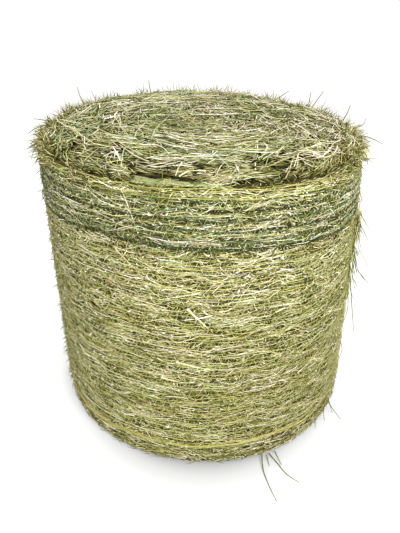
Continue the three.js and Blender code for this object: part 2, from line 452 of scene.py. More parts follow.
def read_map(values, first, second, wraps):
    """Reads a map between its cells. The first way round may wrap."""
    low_first = np.floor(first).astype(int)
    low_second = np.clip(np.floor(second).astype(int), 0, values.shape[1] - 2)
    part_first = first - low_first
    part_second = np.clip(second - low_second, 0, 1)
    if wraps:
        rows = (low_first % values.shape[0], (low_first + 1) % values.shape[0])
    else:
        rows = (np.clip(low_first, 0, values.shape[0] - 1), np.clip(low_first + 1, 0, values.shape[0] - 1))
    near = values[rows[0], low_second] * (1 - part_second) + values[rows[0], low_second + 1] * part_second
    far = values[rows[1], low_second] * (1 - part_second) + values[rows[1], low_second + 1] * part_second
    return near * (1 - part_first) + far * part_first


def softened(values, cells):
    """A map blurred over some cells each way."""
    for axis in (0, 1):
        values = np.mean([np.roll(values, shift, axis) for shift in range(-cells, cells + 1)], 0)
    return values


reach_map = measure_reach()
top_map = measure_top()
rim_map = np.maximum(top_map, RIM_HEIGHT - 0.02)
bridged_map = softened(rim_map, 4)
settled_map = softened(rim_map, 9)  # for long stems, which bridge more


def reach_at(angle, height):
    """The body's reach in a direction, in radians, and at a height."""
    return read_map(
        reach_map, angle * MAP_ANGLES / (2 * math.pi),
        height / MAP_HEIGHTS[-1] * (len(MAP_HEIGHTS) - 1), True,
    )


def top_at(x, y, values):
    """The height of the body's top at a place."""
    cell = 2 * TOP_HALF / (TOP_CELLS - 1)
    return read_map(values, (x + TOP_HALF) / cell, (y + TOP_HALF) / cell, False)


def on_side(angle, height, standoff):
    """Points on the side, from direction, height and standoff."""
    reach = reach_at(angle, height) + standoff
    return np.stack([middle_at(height) + reach * np.cos(angle), reach * np.sin(angle), height], -1)


def outward_at(angle):
    """The level direction away from the middle."""
    return np.stack([np.cos(angle), np.sin(angle), np.zeros_like(angle)], -1)


print("reach from", reach_map.min().round(3), "to", reach_map.max().round(3))

# %% [markdown]
# ## One mesh from thousands of stems
# A stem at this scale is a slim three-sided spindle: rings of three corners along a line, and a point
# at each end, so every stem is closed. All stems of a kind are joined in one mesh, filled from arrays.
# Each stem gets a small patch of the UV map: across is its tone, and up is how light it is. The
# finish reads only that map, so the colours go with the stems wherever the mesh goes.

# %% Make spindles
TONE_WIDTH = 0.012
SHADE_LENGTH = 0.05
UP = np.array([0.0, 0.0, 1.0])
STEM_PARTS = ("lines", "width", "facing", "tone", "shade")


def unit(vectors):
    """The same directions, one long."""
    return vectors / np.maximum(np.linalg.norm(vectors, axis=-1, keepdims=True), 1e-9)


def spindle_points(lines, width, facing, flatness):
    """The corners of each spindle: a tip, rings of three, and a tip."""
    tangent = unit(np.gradient(lines, axis=1))
    across = unit(np.cross(facing, tangent))
    over = np.cross(tangent, across)
    rings = lines[:, 1:-1]
    half = 0.5 * width[:, None, None] * np.ones((1, rings.shape[1], 1))
    corners = []
    for corner in range(3):
        turn = 2 * math.pi * corner / 3 + math.pi / 6
        aside = math.cos(turn) * across[:, 1:-1] + flatness * math.sin(turn) * over[:, 1:-1]
        corners.append(rings + half * aside)
    rings = np.stack(corners, 2).reshape(len(lines), -1, 3)
    return np.concatenate([lines[:, :1], rings, lines[:, -1:]], 1)


def spindle_faces(stops):
    """The faces of one spindle, as triangles and as quads."""
    rings = stops - 2
    last = 1 + 3 * rings
    tips = []
    for corner in range(3):
        after = (corner + 1) % 3
        tips.append((0, 1 + after, 1 + corner))
        tips.append((last, last - 3 + corner, last - 3 + after))
    sides = []
    for ring in range(rings - 1):
        for corner in range(3):
            after = (corner + 1) % 3
            start = 1 + 3 * ring
            sides.append((start + corner, start + after, start + 3 + after, start + 3 + corner))
    return np.array(tips, int), np.array(sides, int).reshape(-1, 4)


def fill_mesh(name, points, triangles, quads, corner_map):
    """A mesh object from arrays, with its UV map."""
    mesh = bpy.data.meshes.new(name)
    mesh.vertices.add(len(points))
    mesh.vertices.foreach_set("co", points.astype(np.float32).ravel())
    corners = np.concatenate([triangles.ravel(), quads.ravel()])
    sizes = np.concatenate([np.full(len(triangles), 3), np.full(len(quads), 4)])
    mesh.loops.add(len(corners))
    mesh.loops.foreach_set("vertex_index", corners.astype(np.int32))
    mesh.polygons.add(len(sizes))
    mesh.polygons.foreach_set("loop_start", (np.cumsum(sizes) - sizes).astype(np.int32))
    mesh.polygons.foreach_set("use_smooth", np.ones(len(sizes), bool))
    mesh.update(calc_edges=True)
    layer = mesh.uv_layers.new(name="OFBake")
    layer.data.foreach_set("uv", corner_map[corners].astype(np.float32).ravel())
    ob = bpy.data.objects.new(name, mesh)
    bpy.context.scene.collection.objects.link(ob)
    return ob


def spindles(name, stems, finish):
    """One piece from many stems, all with the same number of stops."""
    lines = stems["lines"]
    count, stops, _ = lines.shape
    points = spindle_points(lines, stems["width"], stems["facing"], stems["flatness"])
    each = points.shape[1]
    tips, sides = spindle_faces(stops)
    first = (np.arange(count) * each)[:, None, None]
    triangles = (tips[None] + first).reshape(-1, 3)
    quads = (sides[None] + first).reshape(-1, 4)
    round_it = np.concatenate([[0.5], np.tile([0.0, 0.5, 1.0], stops - 2), [0.5]])
    along = np.concatenate([[0.0], np.repeat(np.linspace(0.1, 0.9, stops - 2), 3), [1.0]])
    tone = stems["tone"][:, None] * (1 - TONE_WIDTH) + TONE_WIDTH * round_it
    shade = stems["shade"][:, None] * (1 - SHADE_LENGTH) + SHADE_LENGTH * along
    corner_map = np.stack([tone, shade], -1).reshape(-1, 2)
    ob = fill_mesh(name, points.reshape(-1, 3), triangles, quads, corner_map)
    ob.data.materials.append(finish)
    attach(ob, "root")
    print(name, "stems:", count, "triangles:", len(triangles) + 2 * len(quads))
    return ob


def stem_lot(lines, facing, flatness, width, tone, shade):
    """A lot of stems with the same number of stops, each with its width, tone and shade."""
    return {
        "lines": lines, "facing": np.broadcast_to(facing, lines.shape), "flatness": flatness,
        "width": width, "tone": tone, "shade": np.clip(shade, 0, 1),
    }


def gathered(groups):
    """Several lots of stems with the same number of stops, as one lot."""
    together = {key: np.concatenate([group[key] for group in groups]) for key in STEM_PARTS}
    return together | {"flatness": groups[0]["flatness"]}


def thinned(stems, kept):
    """Only the stems for which kept is true."""
    return {key: stems[key][kept] for key in STEM_PARTS} | {"flatness": stems["flatness"]}


# %% [markdown]
# ## The tones of dry grass
# Cut grass dries to straw and cream where the sun reached it, and stays green in the swath. A colour
# ramp holds these tones side by side. A stem's place across the map picks its tone, and its place up
# the map lightens or darkens it, both at random and as painted shade. A fine noise on the same map streaks
# each stem.

# %% Mix the finishes
HAY_TONES = {  # place on the ramp, and colour
    "brown": (0.04, (0.145, 0.105, 0.042)),
    "tan": (0.16, (0.32, 0.25, 0.14)),
    "beige": (0.28, (0.53, 0.46, 0.34)),
    "straw": (0.42, (0.57, 0.51, 0.28)),
    "cream": (0.56, (0.76, 0.72, 0.53)),
    "lime": (0.68, (0.47, 0.48, 0.18)),
    "green": (0.80, (0.27, 0.34, 0.12)),
    "grey_green": (0.90, (0.26, 0.32, 0.18)),
    "deep_green": (0.98, (0.10, 0.14, 0.05)),
}
NET_TONES = {
    "yellow": (0.10, (0.54, 0.49, 0.14)),
    "lime": (0.35, (0.45, 0.48, 0.14)),
    "pale": (0.60, (0.62, 0.61, 0.33)),
    "green": (0.78, (0.10, 0.17, 0.08)),
    "dark_green": (0.95, (0.024, 0.050, 0.019)),
}
SHADE_WARMTH = 1.8  # the power of the shade in blue, so that dark stems are yellower


def strand_finish(name, tones, darkest, lightest, roughness, gloss):
    """A finish for stems or threads, by the place on their UV map."""
    finish, tree, shader = new_finish(name)
    places = add_node(tree, "ShaderNodeUVMap", {}, uv_map="OFBake")
    parts = add_node(tree, "ShaderNodeSeparateXYZ", {"Vector": (places, "UV")})
    ramp = add_ramp(tree, tones.values(), parts, "X")
    light = add_node(
        tree, "ShaderNodeMapRange", {"Value": (parts, "Y"), "To Min": darkest, "To Max": lightest})
    streaks = add_node(
        tree, "ShaderNodeTexNoise", {"Vector": (places, "UV"), "Scale": 160.0, "Detail": 2.0})
    streaky = add_node(tree, "ShaderNodeMapRange", {
        "Value": (streaks, "Fac"), "From Min": 0.3, "From Max": 0.7, "To Min": 0.85, "To Max": 1.12,
    })
    both = add_node(
        tree, "ShaderNodeMath", {0: (light, "Result"), 1: (streaky, "Result")}, operation="MULTIPLY")
    blue = add_node(tree, "ShaderNodeMath", {0: (both, "Value"), 1: SHADE_WARMTH}, operation="POWER")
    by_channel = add_node(
        tree, "ShaderNodeCombineXYZ", {"X": (both, "Value"), "Y": (both, "Value"), "Z": (blue, "Value")})
    lit = add_node(
        tree, "ShaderNodeVectorMath", {0: (ramp, "Color"), 1: (by_channel, "Vector")}, operation="MULTIPLY")
    feed(shader, {"Base Color": (lit, "Vector"), "Roughness": roughness, "Specular IOR Level": gloss})
    return finish


hay_finish = strand_finish("dry grass", HAY_TONES, 0.02, 1.46, 0.8, 0.05)
net_finish = strand_finish("knitted net", NET_TONES, 0.25, 1.35, 0.5, 0.15)
print("tones of the hay:", len(HAY_TONES), "and of the net:", len(NET_TONES))

# %% [markdown]
# ## The dark of the imported hay, partly painted shade
# What shows between the stems is the depth of the bale: brown and olive, and nearly black in the gaps, which
# is painted shade.
# Its finish stretches a noise along the layers, and paints the loose mat, which has deeper gaps, darker still
# as shade.

# %% Finish the body
PACKED_TONES_AND_SHADE = {  # place on the ramp, and colour
    # the hay's brown and olive, darkened by painted shade, which is nearly black in the gaps
    "gap": (0.36, (0.012, 0.009, 0.004)),
    "olive": (0.50, (0.045, 0.040, 0.014)),
    "stems": (0.66, (0.15, 0.14, 0.055)),
}
TOP_PAINTED_SHADE = 0.35  # painted shade: how light the mat's gaps are beside the side's
GAP_FADE = 0.01


def body_finish():
    """Packed hay with layered streaks, darkened by painted shade, and more so on the mat."""
    finish, tree, shader = new_finish("packed hay")
    places = add_node(tree, "ShaderNodeTexCoord", {})
    squeeze = add_node(tree, "ShaderNodeMapping", {"Vector": (places, "Object"), "Scale": (1, 1, 6)})
    layers = add_node(tree, "ShaderNodeTexNoise", {
        "Vector": (squeeze, "Vector"), "Scale": 40.0, "Detail": 6.0, "Roughness": 0.7,
    })
    ramp = add_ramp(tree, PACKED_TONES_AND_SHADE.values(), layers, "Fac")
    parts = add_node(tree, "ShaderNodeSeparateXYZ", {"Vector": (places, "Object")})
    painted_top_shade = add_node(tree, "ShaderNodeMapRange", {
        "Value": (parts, "Z"), "From Min": RIM_HEIGHT - GAP_FADE, "From Max": RIM_HEIGHT + GAP_FADE,
        "To Min": 1.0, "To Max": TOP_PAINTED_SHADE,
    })
    darkened = add_node(
        tree, "ShaderNodeVectorMath", {0: (ramp, "Color"), "Scale": (painted_top_shade, "Result")}, operation="SCALE")
    bump = add_node(tree, "ShaderNodeBump", {"Height": (layers, "Fac"), "Distance": 0.004})
    feed(shader, {
        "Base Color": (darkened, "Vector"), "Normal": (bump, "Normal"),
        "Roughness": 0.95, "Specular IOR Level": 0.0,
    })
    return finish


body.data.materials.clear()
body.data.materials.append(body_finish())
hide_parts("hay_roll")
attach(body, "root")
print("finish of the body:", body.data.materials[0].name)

# %% [markdown]
# ## Drifts
# Stems on the side were combed into long waves as the roll turned. A drift is a smooth random wave
# field. It is a sum of sines with whole numbers of waves round the bale, so that it closes on itself.
# Stems near each other read nearly the same drift.

# %% Define drifts
def drift(seed, most_turns, shortest_up, waves=16):
    """A smooth random field, mostly from -1 to 1, over direction and height."""
    draws = np.random.default_rng(seed)
    turns = draws.integers(1, most_turns + 1, waves)
    ups = draws.uniform(-1, 1, waves) * 2 * math.pi / shortest_up
    starts = draws.uniform(0, 2 * math.pi, waves)

    def read(angle, height):
        total = np.zeros(np.broadcast(angle, height).shape)
        for turn, up, start in zip(turns, ups, starts):
            total += np.sin(turn * angle + up * height + start)
        return total / math.sqrt(waves)

    return read


comb = drift(12, 26, 0.10)
fine_comb = drift(13, 70, 0.05)
patch = drift(14, 12, 0.16)
streak = drift(15, 22, 0.035)
slack = drift(16, 60, 0.06)
ridge = drift(17, 190, 0.012, 30)
nest = drift(18, 44, 0.05, 24)
print("comb in front, a metre up:", round(float(comb(-math.pi / 2, 1.0)), 2))

# %% [markdown]
# ## The rows of the net
# The net's chains run round the bale in rows. Three of them are easy to follow: the lower edge, the
# foot of the green band, and the upper edge. They wander as the net was pulled, so each is a short
# list of directions and heights, and the rows between them are spaced evenly from one to the next.

# %% Define the rows
EDGE_FOOT = [  # direction in degrees, and height
    (-153, 0.095), (-133, 0.099), (-114, 0.110), (-90, 0.102), (-68, 0.126), (-50, 0.113), (-28, 0.114),
    (40, 0.104), (120, 0.112),
]
BAND_FOOT = [
    (-148, 0.986), (-121, 1.011), (-103, 1.004), (-86, 0.993), (-65, 0.985), (-38, 0.961), (-29, 0.966),
    (30, 0.990), (100, 0.982), (160, 0.978),
]
EDGE_TOP = [
    (-145, 1.198), (-131, 1.192), (-112, 1.200), (-85, 1.201), (-62, 1.197), (-50, 1.190), (-38, 1.170),
    (-27, 1.152), (0, 1.150), (30, 1.166), (70, 1.176), (120, 1.178), (170, 1.186),
]
SIDE_ROWS = 24
BAND_ROWS = 6
ALL_ROWS = SIDE_ROWS + BAND_ROWS
SWELL = 0.0062  # how far the hay swells between two rows
BARE_SWELL = 0.003  # and where there are no rows
PRESSED = {"depth": 0.003, "up": 0.007}  # the groove at the foot of the green band


def along_outline(outline, angle):
    """An outline's height in a direction, in radians."""
    angles = [math.radians(stop[0]) for stop in outline]
    heights = [stop[1] for stop in outline]
    return np.interp(angle, angles, heights, period=2 * math.pi)


def three_outlines(angle):
    """The heights of the lower edge, the band's foot and the upper edge in a direction."""
    return (along_outline(outline, angle) for outline in (EDGE_FOOT, BAND_FOOT, EDGE_TOP))


def row_height(row, angle):
    """The height of a row, counted from the lower edge, in a direction."""
    foot, band, top = three_outlines(angle)
    below = foot + (band - foot) * row / SIDE_ROWS
    above = band + (top - band) * (row - SIDE_ROWS) / BAND_ROWS
    return np.where(row < SIDE_ROWS, below, above)


def row_at(angle, height):
    """How many rows up a point is."""
    foot, band, top = three_outlines(angle)
    below = (height - foot) / (band - foot) * SIDE_ROWS
    above = SIDE_ROWS + (height - band) / (top - band) * BAND_ROWS
    return np.where(height < band, below, above)


def quilt(angle, height):
    """How far the hay swells at a place, less where the foot of the green band presses it in."""
    row = row_at(angle, height)
    netted = (row > -0.2) & (row < ALL_ROWS + 0.2)
    swell = np.where(netted, SWELL * np.sqrt(np.abs(np.sin(math.pi * row))), BARE_SWELL)
    pressed = np.exp(-((height - along_outline(BAND_FOOT, angle)) / PRESSED["up"]) ** 2)
    return swell - PRESSED["depth"] * pressed


print("rows of the net:", ALL_ROWS, "of which on the side:", SIDE_ROWS)

# %% [markdown]
# ## Stems on the side
# They lie in several layers. Each crosses its neighbours at a small angle, follows the comb, and
# tucks its ends in under the layer above. The deep ones are darkened and the outer ones lightened, and the
# foot is darkened too, which is painted shade. Long stems have more stops than short ones, because the side
# curves under them. Chaff and leaf bits have three.

# %% Lay the side stems
STOPS = {
    3: np.array([0, 0.5, 1]), 4: np.array([0, 0.12, 0.88, 1]), 5: np.array([0, 0.1, 0.5, 0.9, 1]),
    6: np.array([0, 0.07, 0.36, 0.64, 0.93, 1]), 9: np.array([0, 0.06, 0.2, 0.35, 0.5, 0.65, 0.8, 0.94, 1]),
}
PALE_SIDE = {"cream": 32, "beige": 24, "straw": 24, "tan": 8, "lime": 12}
LIME_SIDE = {"lime": 36, "straw": 26, "cream": 12, "green": 14, "beige": 8, "tan": 4}
BAND_SIDE = {"grey_green": 26, "cream": 18, "beige": 18, "straw": 12, "green": 12, "lime": 8, "deep_green": 6}
EDGE_SIDE = {"lime": 48, "straw": 30, "cream": 10, "beige": 6, "green": 6}
SIDE_FOOT = 0.002
SIDE_TOP = 1.198
EDGE_STRIP = 0.036  # the yellow strip under the upper edge
PAINTED_LIGHT_PATCH = {"direction": math.radians(-88), "height": 0.87, "up": 0.10}  # a painted pool of light on the front, under the green band
HELD = {"side": 0.35, "band foot": 0.78, "band": 0.42}  # how surely the net's rows hold a stem down


def over_net(angle, height):
    """How surely the net holds down a stem that crosses one of its rows, and 0 if it crosses none."""
    rows = np.floor(row_at(angle, height))
    lowest = rows.min(1)
    crosses = rows.max(1) > lowest
    held = np.where(lowest < SIDE_ROWS - 1, HELD["side"], HELD["band"])
    held = np.where(lowest == SIDE_ROWS - 1, HELD["band foot"], held)
    return np.where(crosses & (lowest >= 0), held, 0.0)


def painted_light_patch(angle, height):
    """How much painted light the hay gets at a place, from 0 to 1."""
    aside = (np.cos(angle - PAINTED_LIGHT_PATCH["direction"]) - 1) / 0.25
    return np.exp(aside - ((height - PAINTED_LIGHT_PATCH["height"]) / PAINTED_LIGHT_PATCH["up"]) ** 2)


def pick_tones(draws, count, weights, tones=HAY_TONES, spread=0.022):
    """A tone for each stem, from the named tones' weights."""
    shares = np.array(list(weights.values()), float)
    picked = draws.choice(len(weights), count, p=shares / shares.sum())
    centres = np.array([tones[name][0] for name in weights])
    return np.clip(centres[picked] + draws.normal(0, spread, count), 0.0, 1.0)


def mixed_tones(draws, place, first, second):
    """Tones from the second weights where place is high, and else from the first."""
    count = len(place)
    chosen = draws.uniform(0, 1, count) < place
    return np.where(chosen, pick_tones(draws, count, second), pick_tones(draws, count, first))


def side_stems(seed, count, stops, length, width, slant, depth, wild, loose):
    """Stems that lie on the side. wild and loose are the shares that lie steep and that stand off."""
    draws = np.random.default_rng(seed)
    centre = draws.uniform(0, 2 * math.pi, count)
    height = draws.uniform(SIDE_FOOT, SIDE_TOP, count)
    span = draws.uniform(*length, count)
    slope = draws.normal(0, slant, count)
    steep = draws.uniform(0, 1, count) < wild
    slope = np.where(steep, draws.uniform(-1.2, 1.2, count), slope)
    share = STOPS[stops][None]
    along = (share - 0.5) * span[:, None]
    angle = centre[:, None] + along * np.cos(slope)[:, None] / RIM_RADIUS
    combed = 0.010 * comb(angle, height[:, None]) + 0.004 * fine_comb(angle, height[:, None])
    combed -= combed[:, :1]
    upright = np.clip(height[:, None] + along * np.sin(slope)[:, None] + combed, SIDE_FOOT, SIDE_TOP)
    level = draws.uniform(0, 1, count)
    crest = ridge(centre, height)
    sunk = depth[0] + (depth[1] - depth[0]) * level + 0.0012 * crest
    bowed = 1 - (2 * share - 1) ** 2
    standoff = sunk[:, None] + quilt(angle, upright) + 0.004 * (bowed - 0.7)
    loosened = draws.uniform(0, 1, count) < loose
    rise = np.where(loosened, draws.uniform(0.004, 0.016, count), 0.0)
    standoff = standoff + rise[:, None] * share ** 2
    greener = np.clip(0.45 + 0.35 * patch(centre, height), 0, 1)
    tone = mixed_tones(draws, greener, PALE_SIDE, LIME_SIDE)
    banded = (height > along_outline(BAND_FOOT, centre)) & (draws.uniform(0, 1, count) < 0.85)
    tone = np.where(banded, pick_tones(draws, count, BAND_SIDE), tone)
    edge = (height > along_outline(EDGE_TOP, centre) - EDGE_STRIP) & (draws.uniform(0, 1, count) < 0.6)
    tone = np.where(edge, pick_tones(draws, count, EDGE_SIDE), tone)
    # painted shade: the deeper a stem lies and the lower its ridge, the darker it is; the streak and the
    # spread are the hay's own tone
    shade = 0.10 + 0.62 * level + 0.14 * crest + 0.08 * streak(centre, height) + draws.normal(0, 0.19, count)
    # painted shade darkens the foot, and a painted pool of light brightens the front under the green band
    shade = shade - 0.20 * np.exp(-height / 0.05) + 0.15 * painted_light_patch(centre, height) + 0.10 * banded
    lines = on_side(angle, upright, standoff)
    stems = stem_lot(lines, outward_at(angle), 0.6, draws.uniform(*width, count), tone, shade)
    return thinned(stems, draws.uniform(0, 1, count) > over_net(angle, upright))


LONG_HAY = {
    "count": 4600, "stops": 5, "length": (0.07, 0.17), "width": (0.0020, 0.0036), "slant": 0.17,
    "depth": (-0.004, 0.0030), "wild": 0.0, "loose": 0.005,
}
SHORT_HAY = {
    "count": 8000, "stops": 4, "length": (0.03, 0.08), "width": (0.0020, 0.0036), "slant": 0.36,
    "depth": (-0.003, 0.0042), "wild": 0.05, "loose": 0.02,
}
CHAFF = {
    "count": 28500, "stops": 3, "length": (0.010, 0.036), "width": (0.0022, 0.0044), "slant": 0.60,
    "depth": (-0.003, 0.0056), "wild": 0.20, "loose": 0.02,
}
for name, seed, layer in (
    ("side_long_hay_1", 21, LONG_HAY), ("side_long_hay_2", 22, LONG_HAY), ("side_short_hay", 25, SHORT_HAY),
    ("side_chaff_1", 27, CHAFF), ("side_chaff_2", 28, CHAFF),
):
    spindles(name, side_stems(seed, **layer), hay_finish)

# %% [markdown]
# ## The chains of the net
# A chain is a thin knitted thread. Here and there it sinks under the hay, and sun and dust vary its
# colour, so each chain is laid as arcs that overlap a little, each with its own tone. The second and
# third wraps of net lie over the first with their rows between its rows.

# %% Lay the chains
ARCS = 9
ARC_STOPS = 15
ARC_SWEEP = 2.08 * math.pi / ARCS
SIDE_CHAINS = {"yellow": 34, "lime": 42, "pale": 24}
BAND_CHAINS = {"green": 30, "dark_green": 70}
FAINT_CHAINS = {"green": 25, "pale": 50, "lime": 25}
EDGE_CHAINS = {"yellow": 30, "lime": 45, "pale": 25}


def pick_net_tones(draws, count, weights):
    """A tone for each thread, from the named tones' weights."""
    return pick_tones(draws, count, weights, NET_TONES, 0.03)


def chain(row, seed, wander_seed, wander, width, standoff, sink, shade, weights):
    """One chain round the bale at a row, as arcs, with a small wander of its own."""
    own = drift(wander_seed, 14, 0.5, 8)
    draws = np.random.default_rng(seed)
    starts = draws.uniform(0, 2 * math.pi) + np.arange(ARCS) * 2 * math.pi / ARCS
    angle = starts[:, None] + np.linspace(0, ARC_SWEEP, ARC_STOPS)[None]
    height = row_height(row, angle) + wander * own(angle, 0.03 * row)
    out = standoff + sink * slack(angle, height) + 0.7 * quilt(angle, height)
    return stem_lot(
        on_side(angle, height, out), outward_at(angle), 0.8, draws.uniform(*width, ARCS),
        pick_net_tones(draws, ARCS, weights), draws.normal(shade, 0.14, ARCS),
    )


ROW = {"wander": 0.002, "width": (0.0020, 0.0028), "standoff": 0.0076, "sink": 0.0034, "shade": 0.58,
       "weights": SIDE_CHAINS}
BETWEEN = {"wander": 0.006, "width": (0.0018, 0.0024), "standoff": 0.0060, "sink": 0.0042, "shade": 0.52,
           "weights": SIDE_CHAINS}
BAND = {"wander": 0.001, "width": (0.0026, 0.0034), "standoff": 0.0108, "sink": 0.0018, "shade": 0.22,
        "weights": BAND_CHAINS}
FAINT = {"wander": 0.004, "width": (0.0018, 0.0024), "standoff": 0.0054, "sink": 0.0036, "shade": 0.40,
         "weights": FAINT_CHAINS}
FOOT_OF_BAND = {"wander": 0.001, "width": (0.0032, 0.0038), "standoff": 0.0128, "sink": 0.0006,
                "weights": {"dark_green": 1}}
STRIP = {"wander": 0.0036, "width": (0.0014, 0.0022), "standoff": 0.0036, "sink": 0.0048, "shade": 0.52,
         "weights": EDGE_CHAINS}
UPPER_EDGE = {"wander": 0.002, "width": (0.0020, 0.0026), "standoff": 0.0076, "sink": 0.0020, "shade": 0.56,
              "weights": {"yellow": 75, "lime": 25}}
LOWER_EDGE = {"wander": 0.002, "width": (0.0024, 0.0034), "standoff": 0.0074, "sink": 0.0012, "shade": 0.56,
              "weights": {"yellow": 80, "lime": 20}}
chains = []
for row in range(1, SIDE_ROWS):
    chains.append(chain(row, 200 + row, 300 + row, **ROW))
    chains.append(chain(row - 0.55, 400 + row, 500 + row, **BETWEEN))
for row in range(SIDE_ROWS + 1, ALL_ROWS):
    chains.append(chain(row, 600 + row, 300 + row, **BAND))
    chains.append(chain(row - 0.5, 650 + row, 350 + row, **FAINT))
chains.append(chain(SIDE_ROWS, 680, 340, shade=0.22, **FOOT_OF_BAND))
chains.append(chain(SIDE_ROWS + 0.30, 682, 340, shade=0.30, **FOOT_OF_BAND))
for step in range(6):
    chains.append(chain(ALL_ROWS - 0.17 * step, 700 + step, 360 + step, **STRIP))
chains.append(chain(ALL_ROWS, 712, 370, **UPPER_EDGE))
chains.append(chain(ALL_ROWS - 0.85, 720, 370, **UPPER_EDGE))
for step in range(4):
    chains.append(chain(-0.1 + 0.16 * step, 720 + step, 380 + step, **LOWER_EDGE))
net = spindles("net_chains", gathered(chains), net_finish)
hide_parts("net_wrap")

# %% [markdown]
# ## The laps of the net
# Between two chains a lap thread runs zigzag from knot to knot. It is thinner than a chain, and tight
# over the hay that swells between the rows.

# %% Lay the laps
LAP_STEP = 0.017  # from one knot to the next along a chain
SIDE_LAPS = {"lime": 35, "pale": 45, "yellow": 20}


def laps(seed, offset, standoff, kept):
    """The zigzag threads between all rows of one wrap of the net."""
    draws = np.random.default_rng(seed)
    knots = int(2 * math.pi * FOOT_RADIUS / LAP_STEP) // 2 * 2
    lots = []
    for row in np.arange(0, ALL_ROWS - 1) + offset:
        knot = draws.uniform(0, 1) + np.arange(knots)
        start = knot * 2 * math.pi / knots
        stop = (knot + 1) * 2 * math.pi / knots
        rising = np.arange(knots) % 2 == 0
        angle = np.stack([start, (start + stop) / 2, stop], 1)
        rows = np.where(rising[:, None], [[0.0, 0.5, 1.0]], [[1.0, 0.5, 0.0]]) + row
        height = row_height(rows, angle)
        held = draws.uniform(0, 1, knots) < kept
        out = standoff + quilt(angle, height) * [[0, 1, 0]]
        faint = pick_net_tones(draws, knots, FAINT_CHAINS)
        plain = pick_net_tones(draws, knots, SIDE_LAPS)
        threads = stem_lot(
            on_side(angle, height, out), outward_at(angle), 0.8, draws.uniform(0.0018, 0.0026, knots),
            faint if row >= SIDE_ROWS else plain, draws.normal(0.5, 0.12, knots),
        )
        lots.append(thinned(threads, held))
    return gathered(lots)


spindles("net_laps", gathered([laps(81, 0.0, 0.0070, 0.80), laps(82, 0.45, 0.0062, 0.75)]), net_finish)

# %% [markdown]
# ## Stems on the top
# On the flat end the windrow lies open: long curved stems follow the winding, others cross them, and
# some stand up. They bridge the small dips, but most stay out of the pockets, which are dark for it.
# The bare ledge in front is packed closer, with short stems that lie flat.

# %% Lay the top stems
TOP_RADIUS = 0.615
LEDGE_SHARE = 0.03  # of all top stems, these lie on the ledge as well as those that fall there
PALE_TOP = {"straw": 32, "cream": 22, "beige": 8, "lime": 22, "tan": 10, "green": 6}
GREEN_TOP = {"green": 28, "lime": 30, "grey_green": 16, "straw": 12, "cream": 10, "deep_green": 4}
LEDGE_TOP = {"grey_green": 44, "lime": 22, "beige": 14, "straw": 10, "green": 10}
CREAM_TOP = {"cream": 70, "beige": 18, "straw": 12}
green_patch = drift(31, 5, 0.4)


def over_hollow(x, y):
    """How near each stem runs to the middle of a hollow, between its stops too."""
    between_x = (x[:, 1:] + x[:, :-1]) / 2
    between_y = (y[:, 1:] + y[:, :-1]) / 2
    return np.maximum(hollow_at(x, y).max(1), hollow_at(between_x, between_y).max(1))


def top_stems(seed, count, stops, length, width, scatter, lift, steep, weights, light):
    """Stems that lie on the top, mostly along the winding."""
    draws = np.random.default_rng(seed)
    direction = draws.uniform(-math.pi, math.pi, count)
    distance = TOP_RADIUS * np.sqrt(draws.uniform(0, 1, count))
    closing = draws.uniform(0, 1, count) < LEDGE_SHARE
    ledge_direction = LEDGE["direction"] + LEDGE["spread"] * draws.uniform(-1, 1, count)
    direction = np.where(closing, ledge_direction, direction)
    distance = np.where(closing, RIM_RADIUS - draws.uniform(0.006, LEDGE["depth"], count), distance)
    bare = bare_ledge(distance * np.cos(direction), distance * np.sin(direction))
    span = draws.uniform(*length, count) * np.where(bare, 0.6, 1.0)
    onward = draws.uniform(0, 1, count) < 0.5
    aside = draws.normal(0, scatter, count) * np.where(bare, 0.15, 1 - 0.5 * (distance / TOP_RADIUS) ** 2)
    heading = direction + math.pi / 2 + aside + math.pi * onward
    bend = draws.normal(0, 2.8, count) + np.where(onward, -1.2, 1.2)
    curl = draws.normal(0, 0.16, count)
    share = STOPS[stops][None]
    along = (share - 0.5) * span[:, None]
    turned = heading[:, None] + 0.5 * bend[:, None] * along + curl[:, None] * (2 * share - 1) ** 2
    x = (distance * np.cos(direction))[:, None] + along * np.cos(turned)
    y = (distance * np.sin(direction))[:, None] + along * np.sin(turned)
    pull = np.minimum(1, (TOP_RADIUS + 0.012) / np.maximum(np.hypot(x, y), 1e-6))
    x = x * pull
    y = y * pull
    over_ledge = bare_ledge(x, y).any(1) & ~bare
    x = x + middle_at(RIM_HEIGHT)
    level = draws.uniform(0, 1, count) ** 1.6
    clump = nest(direction, distance)
    raised = np.where(bare, 0.001, lift[0] + (lift[1] - lift[0]) * level + 0.002 * clump)
    pitch = draws.normal(0, steep, count) * np.where(bare, 0.0, 1.0)
    over = top_at(x, y, settled_map if stops > 4 else bridged_map)
    ground = np.where(bare[:, None], top_at(x, y, top_map), over)
    z = np.maximum(ground + raised[:, None] + along * pitch[:, None], ground - 0.004)
    kept = bare | (draws.uniform(0, 1, count) > 1.15 * over_hollow(x, y))
    kept &= ~(over_ledge & (draws.uniform(0, 1, count) < 0.9))
    greener = np.clip(0.40 + 0.45 * green_patch(direction, distance), 0, 1)
    tone = mixed_tones(draws, greener, weights, GREEN_TOP if weights is PALE_TOP else weights)
    tone = np.where(bare, pick_tones(draws, count, LEDGE_TOP), tone)
    # painted shade: stems that lie lower, and those in low clumps, are darker; the spread is random tone
    shade = light + 0.75 * level + 0.24 * clump + draws.normal(0, 0.27, count)
    shade = np.where(bare, draws.normal(0.56, 0.22, count), shade)
    lines = np.stack([x, y, z], -1)
    return thinned(stem_lot(lines, UP, 0.7, draws.uniform(*width, count), tone, shade), kept)


